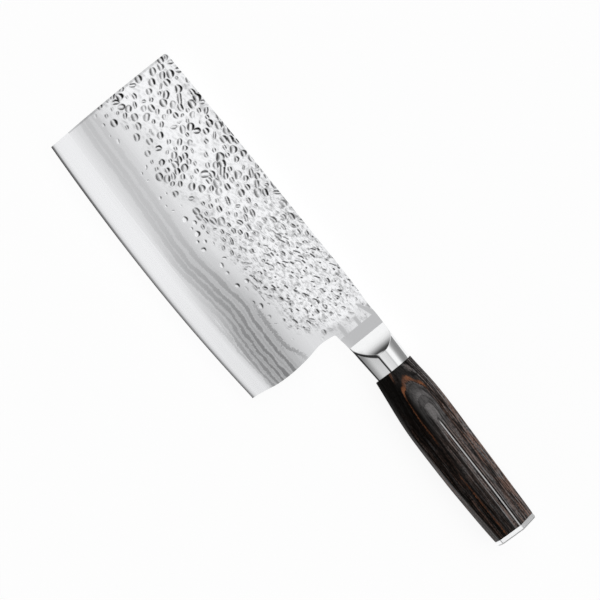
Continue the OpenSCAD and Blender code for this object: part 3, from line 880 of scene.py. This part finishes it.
class Graph:
    """The nodes of one new material or world."""

    def __init__(self, owner):
        owner.use_nodes = True
        owner.node_tree.nodes.clear()
        self.owner, self.tree = owner, owner.node_tree

    def node(self, kind, settings=None, links=None):
        """A node with its settings, then the values or links of its sockets by name, identifier or number.

        A node that is given as a link stands for its first output.
        """
        made = self.tree.nodes.new(kind)
        for key, setting in (settings or {}).items():
            if key == "stops":
                self.fill(made.color_ramp, setting)
            else:
                setattr(made, key, setting)
        for key, given in (links or {}).items():
            named = [socket for socket in made.inputs if key in (socket.identifier, socket.name)]
            socket = named[0] if named else made.inputs[key]
            if isinstance(given, Value):
                given = given.socket
            if isinstance(given, bpy.types.Node):
                given = given.outputs[0]
            if isinstance(given, bpy.types.NodeSocket):
                self.tree.links.new(given, socket)
            else:
                socket.default_value = (*given, 1.0) if isinstance(given, Color) else given
        return made

    def fill(self, ramp, stops):
        """Sets a ramp's stops from pairs of place and grey."""
        while len(ramp.elements) < len(stops):
            ramp.elements.new(0.5)
        for element, (place, _) in zip(ramp.elements, stops):
            element.position = place
        for element, (_, grey) in zip(ramp.elements, stops):
            element.color = (grey, grey, grey, 1)

    def value(self, kind, settings=None, links=None, output=0):
        """One output of a new node, as a number."""
        return Value(self, self.node(kind, settings, links).outputs[output])

    def math(self, operation, *numbers):
        """A Math node on values or numbers."""
        return self.value("ShaderNodeMath", {"operation": operation}, dict(enumerate(numbers)))

    def parts(self, vector):
        """The three numbers of a vector or colour."""
        made = self.node("ShaderNodeSeparateXYZ", None, {0: vector})
        return [Value(self, socket) for socket in made.outputs]

    def places(self):
        """The three coordinates of a point in millimetres."""
        return [number / MM for number in self.parts(self.node("ShaderNodeTexCoord").outputs["Object"])]

    def attribute(self, name):
        """A number that a piece's points carry."""
        return self.value("ShaderNodeAttribute", {"attribute_name": name}, output="Fac")

    def noise(self, x, y, z=0.0, detail=2.0, rough=0.5):
        """Soft noise about 0.5 at a place given by three values."""
        place = self.node("ShaderNodeCombineXYZ", None, {0: x, 1: y, 2: z})
        links = {"Vector": place, "Scale": 1.0, "Detail": detail, "Roughness": rough}
        return self.value("ShaderNodeTexNoise", None, links)

    def chance(self, number):
        """A random number for each value of a number."""
        return self.value("ShaderNodeTexWhiteNoise", {"noise_dimensions": "1D"}, {"W": number})

    def ramp(self, at, pairs):
        """A curve through given pairs of place and grey, as a number.

        The stops' places and the place looked up are both shares of the way from the first pair to the last.
        """
        low, reach = pairs[0][0], pairs[-1][0] - pairs[0][0]
        stops = [((place - low) / reach, grey) for place, grey in pairs]
        from_low = at - low if low else at
        return self.value("ShaderNodeValToRGB", {"stops": stops}, {0: from_low / reach})

    def mix(self, factor, first, second):
        """A colour between two colours."""
        links = {"Factor_Float": factor, "A_Color": first, "B_Color": second}
        outputs = self.node("ShaderNodeMix", {"data_type": "RGBA"}, links).outputs
        return [socket for socket in outputs if socket.identifier == "Result_Color"][0]

    def bump(self, height, distance, strength=1.0):
        """A normal from a height that is given as a share of the distance."""
        links = {"Height": height, "Distance": distance, "Strength": strength}
        return self.node("ShaderNodeBump", None, links)

    def end(self, kind, shader):
        """Links the last shader to the output and gives back the material or world."""
        self.node(kind, None, {"Surface": shader})
        return self.owner


def finish(build):
    """A material named after the function that gives the inputs of its Principled shader."""
    graph = Graph(bpy.data.materials.new(build.__name__))
    shader = graph.node("ShaderNodeBsdfPrincipled", None, build(graph, *sizes("looks")))
    return graph.end("ShaderNodeOutputMaterial", shader)


BLACK = (0.0, 0.0, 0.0, 1.0)
# Brightness of the ground zone over the height in millimetres, by the front and by the heel
FRONT_TONES = (
    (0, 0.85), (3, 0.92), (6, 1.0), (11, 1.0), (14, 0.95), (18, 0.85), (22, 0.74), (26, 0.72), (30, 0.76),
    (34, 0.8), (38, 0.86), (45, 0.95),
)
HEEL_TONES = (
    (0, 0.85), (5, 0.92), (10.5, 0.9), (12.5, 0.76), (15, 0.6), (18, 0.54), (21, 0.52), (25, 0.52),
    (28, 0.52), (31, 0.54), (35, 0.6), (37, 0.66), (40, 0.74), (45, 0.82),
)
# Dark layer lines: height in millimetres, strength, half width in millimetres
LAYER_LINES = (
    (13.6, 0.2, 0.6), (15.5, 0.34, 0.7), (16.9, 0.12, 0.4), (18.3, 0.42, 0.75), (19.9, 0.14, 0.5),
    (21.45, 0.48, 0.75), (23.0, 0.16, 0.5), (24.6, 0.5, 0.8), (26.9, 0.14, 0.5), (29.3, 0.48, 0.9),
    (31.6, 0.1, 0.6),
)
# The top layer shows as a broken band by the heel: height, half width, start and end, in millimetres
TOP_BAND = (34.0, 1.5, -30, 8)
# Satin strips before the neck: height in the frame, half width and start, in millimetres
SATIN_STRIPS = ((29.9, 1.5, 13.6), (20.9, 1.7, 12.4))
# Where the satin neck starts, in millimetres of the frame, and the brightness of satin steel
SATIN_START = 19.4
SATIN_TONE = 0.61
# The satin wedge along the spine: its start, its axis's height at x = 0 and slope, and how fast it widens
WEDGE_START, WEDGE_Y, WEDGE_SLOPE, WEDGE_SPREAD = 9.0, 30.3, 0.476, 0.13
# Width and height of the net's cells that each hold one dash by the heel, in millimetres
DASH_CELL = (4.3, 2.6)
# The darker line along the front end: its place in the frame and half width, in millimetres
FRONT_LINE = (-155.4, 1.1)


def satin_mask(x, y):
    """Where the steel is satin: the neck, two strips that run from it and a wedge along the spine."""
    clear = 1 - x.ease(SATIN_START - 0.3, SATIN_START + 0.1)
    for centre, half, start in SATIN_STRIPS:
        clear = clear * (1 - y.line(centre, half) * x.ease(start, start + 1.5))
    wedge = (y - WEDGE_Y - x * WEDGE_SLOPE).size() - (x - WEDGE_START) * WEDGE_SPREAD
    return 1 - clear * (1 - (1 - wedge.ease(0.0, 0.8)) * x.ease(WEDGE_START, WEDGE_START + 1.0))


def ground_tone(graph, x, y, layer):
    """Brightness of the ground zone: a broad course over the height, less the dark layer lines."""
    ripple = graph.noise(x * 0.14, y * 0.3, 0.0, 3.0, 0.6) - 0.5
    ragged = graph.noise(x * 1.1, y * 1.1, 0.0, 3.0) - 0.5
    height = layer + ripple * 3.0 + ragged * 1.7
    heel, late, lined = x.ease(-90, 8), x.ease(-60, 0), x.ease(-112, 15)
    tone = graph.ramp(layer, FRONT_TONES) * (1 - heel) + graph.ramp(layer, HEEL_TONES) * heel
    for centre, strength, half in LAYER_LINES:
        least = 0.22 if strength > 0.4 and centre > 20 else 0.03
        seen = lined * (1 - least) + least if centre > 17 else late
        tone = tone * (1 - height.line(centre, 2.4 * half - heel * 1.1 * half) * seen * strength)
    centre, half, start, end = TOP_BAND
    band = (layer + ragged * 5.0 - x.ease(2, 15) * 4.0).line(centre, half)
    band = band * x.ease(start, start + 12) * (1 - x.ease(end, end + 10) * 0.6)
    streak = graph.noise(x * 0.03, y * 2.2, 0.0, 3.0)
    return tone * (1 - band * 0.36) * (0.95 + streak * 0.1)


def dashes(graph, x, y):
    """Short dark dashes of painted shade for the shaded walls of fine hammer marks; they rise towards the
    heel, each with its own slope, length and darkness.

    Each cell of a broken net holds one dash through its own middle: the darkness goes by the height over
    the dash's sloping line and ends at its two tips.
    """
    wide, high = DASH_CELL
    at = graph.node("ShaderNodeCombineXYZ", None, {0: x / wide, 1: y / high})
    links = {"Vector": at, "Scale": 1.0, "Randomness": 0.9}
    cells = graph.node("ShaderNodeTexVoronoi", {"voronoi_dimensions": "2D"}, links).outputs
    middle_x, middle_y, _ = graph.parts(cells["Position"])
    slope, reach, dark = graph.parts(cells["Color"])
    along, up = x - middle_x * wide, y - middle_y * high
    over = up - along * (slope * 0.8 - 0.05) + along * along * (reach - 0.5) * 0.2
    half = reach * reach * 2.2 + 0.5
    tips = 1 - along.size().ease(half * 0.5, half)
    return over.line(0.0, dark * 0.32 + 0.32) * tips * dark.ease(0.05, 0.7)


def layered_steel(graph, looks):
    """Side sheets: white hammered flats, and a ground zone whose layers show darker towards the heel."""
    x, y, _ = graph.places()
    above, wall = graph.attribute("above"), graph.attribute("wall")
    ground = 1 - above.ease(-3, 5)
    satin = satin_mask(x, y)
    cloud = graph.noise(x * 0.3, y * 0.42, 3.0, 3.0, 0.6)
    fleck = graph.noise(x * 0.5 - y * 0.25, y * 1.2, 5.0, 3.0, 0.65)
    heel = x.ease(-120, -20) * (1 - x.ease(4, 11) * 0.7)
    flat = 1 - cloud.ease(0.48, 0.7) * (heel * 0.3 + 0.08) - fleck.ease(0.5, 0.66) * (heel * 0.32 + 0.06)
    # Painted shade of fine hammer marks by the heel
    flat = flat * (1 - dashes(graph, x, y) * x.ease(-75, -30) * (1 - x.ease(4, 9)) * 0.9)
    # The hammer marks' painted shade and painted highlight, carried by the points as wall
    flat = flat * (1 - wall) * (0.8 + above.ease(0, 16) * 0.2) * (1 - x.ease(9, 14) * 0.16)
    flat = flat * (1 - y.ease(30, 40) * (cloud.ease(0.5, 0.7) * 0.36 + 0.04))
    flat = flat * (1 - satin) + satin * SATIN_TONE
    # The marks' painted shade also darkens the ground zone
    tone = ground_tone(graph, x, y, graph.attribute("layer")) * (1 - wall)
    tone = (tone * ground + flat * (1 - ground)) * (1 - x.line(*FRONT_LINE) * 0.25)
    return {
        "Base Color": graph.mix(tone, BLACK, looks.blade),
        "Metallic": 1.0,
        "Roughness": 0.13 + ground * 0.1 + satin * 0.16,
        "Normal": graph.bump(graph.noise(x * 0.5, y * 9.0), 0.004 * MM),
    }


def core_steel(graph, looks):
    """Core sheet: bright ground steel with a darker line at the very edge."""
    x, y, _ = graph.places()
    edge = graph.attribute("layer")
    tone = ground_tone(graph, x, y, edge + 2.0) * (edge.ease(0.2, 3.2) * 0.3 + 0.7)
    tone = tone * (1 - edge.line(0.0, 0.7) * 0.6) * (1 - edge.line(0.5, 0.9) * (1 - x.ease(-130, -70)) * 0.4)
    scratch = graph.noise(x * 0.5, y * 9.0)
    return {
        "Base Color": graph.mix(tone, BLACK, looks.blade),
        "Metallic": 1.0,
        "Roughness": 0.14 + scratch * 0.06,
        "Normal": graph.bump(scratch, 0.004 * MM),
    }


# Heights in millimetres of the frame between which the painted shade on the collar's lower side fades out,
# the painted shade on its top sets in, and the cap's lower flank turns into its upper one, which has painted
# shade
COLLAR_LOW = (19.2, 23.0)
COLLAR_TOP = (40.5, 41.0)
CAP_RIDGE = (28.8, 29.6)
# How fast the collar's top falls along x
COLLAR_FALL = 0.028


def polished_steel(graph, looks):
    """Polished steel with faint lengthwise lines, and painted shade on the collar's crown, lower side and
    top.

    The cap, whose points say satin, is satin with painted shade on its bevel and its upper flank. Its lower
    flank is polished, and bent like a shallow crown by a bump that rises away from the ridge.
    """
    bolster, grip = sizes("bolster", "grip")
    x, y, z = graph.places()
    satin = graph.attribute("satin")
    lines = graph.noise(x * 0.3, y * 9.0, z * 9.0)
    cloud = graph.noise(x * 0.18, y * 0.18, z * 0.18)
    # Painted shade on the collar's crown, its lower side and its top
    painted_shade = ((z - MIDDLE_Z / MM) / (bolster.half_w / MM)).ease(0.975, 0.995) * 0.26
    painted_shade = painted_shade + (1 - y.ease(*COLLAR_LOW)) * x.ease(29, 34) * 0.55
    painted_shade = painted_shade + (y + x * COLLAR_FALL).ease(*COLLAR_TOP) * x.ease(30, 35) * 0.5
    upper = y.ease(*CAP_RIDGE)
    bevel = x - (CAD_HIGH.x - grip.cap_rim) / MM
    side = 1 - bevel.ease(0.45, 0.55)
    # Painted shade on the cap's upper flank and on its bevel
    painted_shade = painted_shade * (1 - satin) + (upper * side * 0.17 + bevel.line(0.2, 0.38) * 0.4) * satin
    flank = satin * (1 - upper) * (1 - bevel.ease(-0.15, 0.0))
    crowned = graph.math("MAXIMUM", 29.2 - y, 0.0) * satin * 0.29
    return {
        "Base Color": graph.mix((0.91 + cloud * 0.05 + satin * 0.06) * (1 - painted_shade), BLACK, looks.steel),
        "Metallic": 1 - satin * 0.88 + flank * 0.85,
        "Roughness": 0.07 + lines * 0.06 + satin * 0.3 - flank * 0.2,
        "Normal": graph.bump(lines * 0.002 + crowned, MM, 1 - satin + flank),
    }


def plain_steel(graph, looks):
    """Turned plain steel."""
    x, y, z = graph.places()
    lines = graph.noise(x * 5.0, y * 0.3, z * 0.3)
    return {
        "Base Color": graph.mix(0.75 + lines * 0.3, BLACK, looks.plain),
        "Metallic": 1.0,
        "Roughness": 0.3 + lines * 0.15,
        "Normal": graph.bump(lines, 0.01 * MM),
    }


def bedding_resin(graph, looks):
    """Cloudy hardened resin."""
    x, y, z = graph.places()
    cloud = graph.noise(x * 0.4, y * 0.4, z * 0.4, 3.0)
    return {
        "Base Color": graph.mix(0.6 + cloud * 0.5, BLACK, looks.resin),
        "Roughness": 0.35 + cloud * 0.2,
        "Normal": graph.bump(cloud, 0.05 * MM),
    }


# Thickness of the wood layers, and distance of the orange-brown one from the middle plane, in millimetres
LAYER_MM = 0.5
AMBER_MM = 7.6
# How the layers bend round the front of the side ridge: start and end of the dip and of the rise on
# either side of it, and how far they go, all in millimetres
RING_DIP = (1.0, 3.0, 0.12)
RING_RISE = (3.2, 6.5, 0.95)
# Brightness of the wood layers over their distance from the middle plane, as shares of half the width
LAYER_TONES = (
    (0, 0.7), (0.3, 0.75), (0.48, 0.7), (0.62, 0.5), (0.69, 0.14), (0.75, 0.14), (0.8, 0.6), (0.9, 0.7),
    (1, 0.5),
)
# Lines along the wood: height over the side ridge and half width in millimetres of the painted highlight on
# the ridge, the painted shadow line over it, the faint line under it and the amber spot by the collar
RIDGE_HIGHLIGHT_LINE = (-0.25, 0.44)
RIDGE_SHADOW_LINE = (0.6, 0.5)
FAINT_LINE = (-3.0, 0.4)
SPOT_LINE = (-4.9, 0.8)
# Half width of the orange-brown layer in millimetres, and the colour of the light lines: the painted
# highlight on the ridge and the faint line under it
AMBER_HALF = 0.24
RIDGE_LIGHT = (0.9, 0.9, 0.9, 1.0)


def laminated_wood(graph, looks):
    """Dark resin-bonded layers parallel to the blade: each has its own tone, and one is orange-brown."""
    grip = sizes("grip")[0]
    x, y, z = graph.places()
    z = z - MIDDLE_Z / MM
    across, along = graph.attribute("across"), graph.attribute("along")
    warp = graph.noise(x * 0.05, y * 0.1, z * 0.02, 3.0) - 0.5
    height = z.size() + warp * 0.5
    dip, rise = [across.size().ease(low, high) * far for low, high, far in (RING_DIP, RING_RISE)]
    bent = height + (rise - dip) * (1 - along.ease(0.06, 0.26))
    layer = graph.chance((bent / LAYER_MM).floor())
    fibre = graph.noise(x * 0.06, y * 1.3, z * 1.3, 3.0, 0.6)
    pore = graph.noise(x * 0.9, y * 1.6, z * 1.6).ease(0.42, 0.66)
    cloud = graph.noise(x * 0.13, y * 0.26, z * 0.26, 3.0).ease(0.34, 0.76)
    arc = graph.noise(bent * 1.7 + warp * 2.0, x * 0.04, y * 0.06).ease(0.34, 0.66)
    broad = graph.ramp(height / (grip.half_w / MM), LAYER_TONES)
    even = height.ease(7.7, 8.2) * (1 - along.ease(0.3, 0.45) * 0.6)
    front = 1 - along.ease(0.12, 0.3)
    streaks = 0.1 + fibre.ease(0.4, 0.62) * 2.1 * (1 - even * 0.7) + even * (cloud * 0.9 + arc * 1.05 - 0.1)
    # Painted shade: the even grey layers are darker under the ridge near the front
    streaks = streaks * (1 - even * (-across).ease(0.0, 5.0) * along.ease(0.12, 0.26) * 0.5)
    tone = broad * (0.15 + layer * 1.5 * (1 - even * 0.6) + even * 0.4)
    tone = tone * (streaks * (1 - front * 0.7) + front * 0.7)
    tone = tone * (1.3 - pore * (1 - even * 0.7) - even * 0.35)
    # Painted shade: the wood under the side ridge is darkened, a little less towards the cap
    tone = tone * (1 - (-across).ease(1.0, 7.0) * (0.97 - along.ease(0.2, 0.7) * 0.24))
    tone = tone * (1 - (1 - along.ease(0.02, 0.2)) * 0.45)
    band = bent * 1.5
    stripe = (band - band.floor() - 0.5).size().ease(0.1, 0.4)
    tone = tone * (1 - front * across.ease(1.5, 4.0) * (1 - stripe * 1.35) * 0.85)
    spot = (across + along * 18).line(*SPOT_LINE) * (1 - along.ease(0.01, 0.07))
    crown = along.ease(0.33, 0.36)
    # Painted highlight along the side ridge, and a painted shadow line just over it
    light = across.line(*RIDGE_HIGHLIGHT_LINE) * crown
    dark = across.line(*RIDGE_SHADOW_LINE) * crown
    faint = across.line(*FAINT_LINE) * along.ease(0.5, 0.7) * 0.16
    above = across.ease(0.0, 0.5)
    worn = bent + (pore - 0.5) * 0.1
    upper = worn.line(AMBER_MM, AMBER_HALF) * (1 - along.ease(0.14, 0.2)) * above
    behind = 1 - along.ease(0.4, 0.46) + along.ease(0.6, 0.64)
    thin = along.ease(0.1, 0.16)
    below = worn.line(AMBER_MM, AMBER_HALF - thin * 0.06) * behind * (1 - above)
    below = below * (1 - thin * (1 - pore * 1.1) * 0.8)
    amber = (upper + below + spot * 0.55) * (0.3 + cloud * 0.6) * (1.25 - pore * 0.6)
    brown = graph.noise(x * 0.1, y, z).ease(0.35, 0.6) * 0.8
    lightest = graph.mix(brown * (1 - even) * (1 - front * 0.7), looks.wood_grey, looks.wood_brown)
    colour = graph.mix(tone * (1 - dark * 0.9), looks.wood_dark, lightest)
    colour = graph.mix(amber, colour, looks.amber)
    return {
        "Base Color": graph.mix(light * 0.85 + faint, colour, RIDGE_LIGHT),
        "Roughness": 0.2 + fibre * 0.16,
        "Specular IOR Level": 0.1,
        "Coat Weight": along.ease(0.3, 0.6) * 0.28,
        "Coat Roughness": 0.08,
        "Normal": graph.bump(fibre, 0.02 * MM),
    }


def floor_material(stage):
    """Plain pale floor: white in the picture and in reflections, and it keeps the object's soft shadow."""
    graph = Graph(bpy.data.materials.new("floor_white"))
    rays = graph.node("ShaderNodeLightPath").outputs
    seen = [Value(graph, rays[ray]) for ray in ("Is Camera Ray", "Is Glossy Ray", "Is Transmission Ray")]
    shade = graph.node("ShaderNodeBsdfDiffuse", None, {"Color": (*[stage.floor_shade] * 3, 1.0)})
    white = graph.node("ShaderNodeEmission", None, {"Strength": stage.floor_white})
    both = graph.node("ShaderNodeAddShader", None, {0: shade, 1: white})
    plain = graph.node("ShaderNodeBsdfDiffuse", None, {"Color": (0.8, 0.8, 0.8, 1.0)})
    links = {0: graph.math("MINIMUM", seen[0] + seen[1] + seen[2], 1.0), 1: plain, 2: both}
    return graph.end("ShaderNodeOutputMaterial", graph.node("ShaderNodeMixShader", None, links))


# Brightness of the studio across the cleaver and along it, over a direction's part from -1 to 1
SIDE_LIGHT = (
    (-1, 0.95), (-0.955, 0.75), (-0.92, 0.65), (-0.88, 0.1), (-0.84, 0.03), (-0.5, 0.03), (-0.36, 0.25),
    (-0.26, 0.6), (-0.16, 0.8), (-0.08, 0.97), (0, 1), (0.07, 0.97), (0.14, 0.75), (0.2, 0.75), (0.3, 1),
    (0.62, 1), (0.8, 0.5), (0.93, 0.25), (1, 0.3),
)
LENGTH_LIGHT = (
    (-1, 0.04), (-0.97, 0.07), (-0.93, 0.36), (-0.86, 0.7), (-0.76, 0.9), (-0.6, 0.98), (-0.45, 1),
    (0.8, 1), (1, 0.7),
)


def studio_world():
    """Soft studio light: a white room with darker gaps that polished steel mirrors, and a white background.

    The light across the cleaver goes by the direction's tilt to the side, y over the root of y squared plus
    z squared, and the light along it by x.
    """
    graph = Graph(bpy.data.worlds.new("studio"))
    x, y, z = graph.parts(graph.node("ShaderNodeTexCoord").outputs["Generated"])
    tilt = y / graph.math("SQRT", y * y + z * z + 0.0001)
    level = graph.ramp(tilt, SIDE_LIGHT) * graph.ramp(x, LENGTH_LIGHT)
    seen = graph.value("ShaderNodeLightPath", output="Is Camera Ray")
    links = {"Color": (1.0, 1.0, 1.0, 1.0), "Strength": level * (1 - seen) + seen}
    light = graph.node("ShaderNodeBackground", None, links)
    bpy.context.scene.world = graph.end("ShaderNodeOutputWorld", light)


def studio_floor(stage):
    """A square floor under the cleaver, as a grid of flat points."""
    side = np.linspace(-stage.floor / 2, stage.floor / 2, 5)
    x, y = np.meshgrid(side, side, indexing="ij")
    points = np.stack([x, y, np.full(x.shape, CAD_LOW.z)], -1).reshape(-1, 3)
    mesh = bpy.data.meshes.new("floor")
    mesh.from_pydata(points.tolist(), [], grid_faces(np.arange(x.size).reshape(x.shape)).tolist())
    mesh.materials.append(floor_material(stage))
    in_scene("floor", mesh)


def picture_camera(stage):
    """The camera square over the blade's side, turned as the cleaver lies in the picture."""
    data = bpy.data.cameras.new("camera")
    data.lens = data.sensor_width * stage.camera_height / stage.view_width
    data.clip_start, data.clip_end = 0.01, 20
    camera = in_scene("camera", data)
    camera.location = (stage.camera_x, stage.camera_y, MIDDLE_Z + stage.camera_height)
    camera.rotation_euler = (0, 0, stage.turn)
    bpy.context.scene.camera = camera


class CLEAVER_OT_core(Operator):
    """Build the core layer with its edge"""

    bl_idname = "cleaver.core"
    bl_label = "Core layer"

    def execute(self, context):
        blade_core(finish(core_steel))
        return {"FINISHED"}


class CLEAVER_OT_sides(Operator):
    """Build the two hammered side sheets"""

    bl_idname = "cleaver.sides"
    bl_label = "Hammered sides"

    def execute(self, context):
        hammer = context.scene.cleaver_hammer
        steel = finish(layered_steel)
        cladding("left_sheet", "cladding_left", 1, hammer.seed_left, steel)
        cladding("right_sheet", "cladding_right", -1, hammer.seed_right, steel)
        return {"FINISHED"}


class CLEAVER_OT_bolster(Operator):
    """Build the polished bolster and the end cap"""

    bl_idname = "cleaver.bolster"
    bl_label = "Bolster and cap"

    def execute(self, context):
        steel = finish(polished_steel)
        bolster_collar(steel)
        end_plate(steel)
        return {"FINISHED"}


class CLEAVER_OT_grip(Operator):
    """Build the laminated grip"""

    bl_idname = "cleaver.grip"
    bl_label = "Grip"

    def execute(self, context):
        grip_block(finish(laminated_wood))
        return {"FINISHED"}


class CLEAVER_OT_inside(Operator):
    """Finish the parts inside the grip, which keep their construction's shape"""

    bl_idname = "cleaver.inside"
    bl_label = "Inner parts"

    def execute(self, context):
        steel, resin = finish(plain_steel), finish(bedding_resin)
        for node in ("tang", "tang_washer", "tang_nut", "cap_pins", "tang_bedding"):
            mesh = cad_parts[node].data
            mesh.materials.clear()
            mesh.materials.append(resin if node == "tang_bedding" else steel)
        return {"FINISHED"}


class CLEAVER_OT_stage(Operator):
    """Build the floor, the light and the camera"""

    bl_idname = "cleaver.stage"
    bl_label = "Stage"

    def execute(self, context):
        studio_floor(context.scene.cleaver_stage)
        studio_world()
        picture_camera(context.scene.cleaver_stage)
        context.scene.view_settings.view_transform = "Standard"
        return {"FINISHED"}


OPERATORS = (
    CLEAVER_OT_core, CLEAVER_OT_sides, CLEAVER_OT_bolster, CLEAVER_OT_grip, CLEAVER_OT_inside,
    CLEAVER_OT_stage,
)
GROUPS = {
    "cleaver_blade": BladeSizes,
    "cleaver_hammer": HammerSizes,
    "cleaver_bolster": BolsterSizes,
    "cleaver_grip": GripSizes,
    "cleaver_looks": Finishes,
    "cleaver_stage": StageLook,
}


class CLEAVER_PT_panel(Panel):
    """Lists the cleaver's sizes, finishes and build steps"""

    bl_idname = "CLEAVER_PT_panel"
    bl_label = "Cleaver"
    bl_space_type = "VIEW_3D"
    bl_region_type = "UI"
    bl_category = "Cleaver"

    def draw(self, context):
        for name, group in GROUPS.items():
            box = self.layout.box()
            box.label(text=group.__doc__)
            for key in group.__annotations__:
                box.prop(getattr(context.scene, name), key)
        for operator in OPERATORS:
            self.layout.operator(operator.bl_idname)


def register():
    """Registers the classes and hangs the sizes on the scene."""
    for group in (*GROUPS.values(), *OPERATORS, CLEAVER_PT_panel):
        bpy.utils.register_class(group)
    for name, group in GROUPS.items():
        setattr(bpy.types.Scene, name, PointerProperty(type=group))


def unregister():
    """Takes the sizes and the classes away again."""
    for name in GROUPS:
        delattr(bpy.types.Scene, name)
    for group in (CLEAVER_PT_panel, *reversed(OPERATORS), *reversed(GROUPS.values())):
        bpy.utils.unregister_class(group)


def main():
    register()
    for operator in OPERATORS:
        group, name = operator.bl_idname.split(".")
        getattr(getattr(bpy.ops, group), name)()
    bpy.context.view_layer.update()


if __name__ == "__main__":
    main()
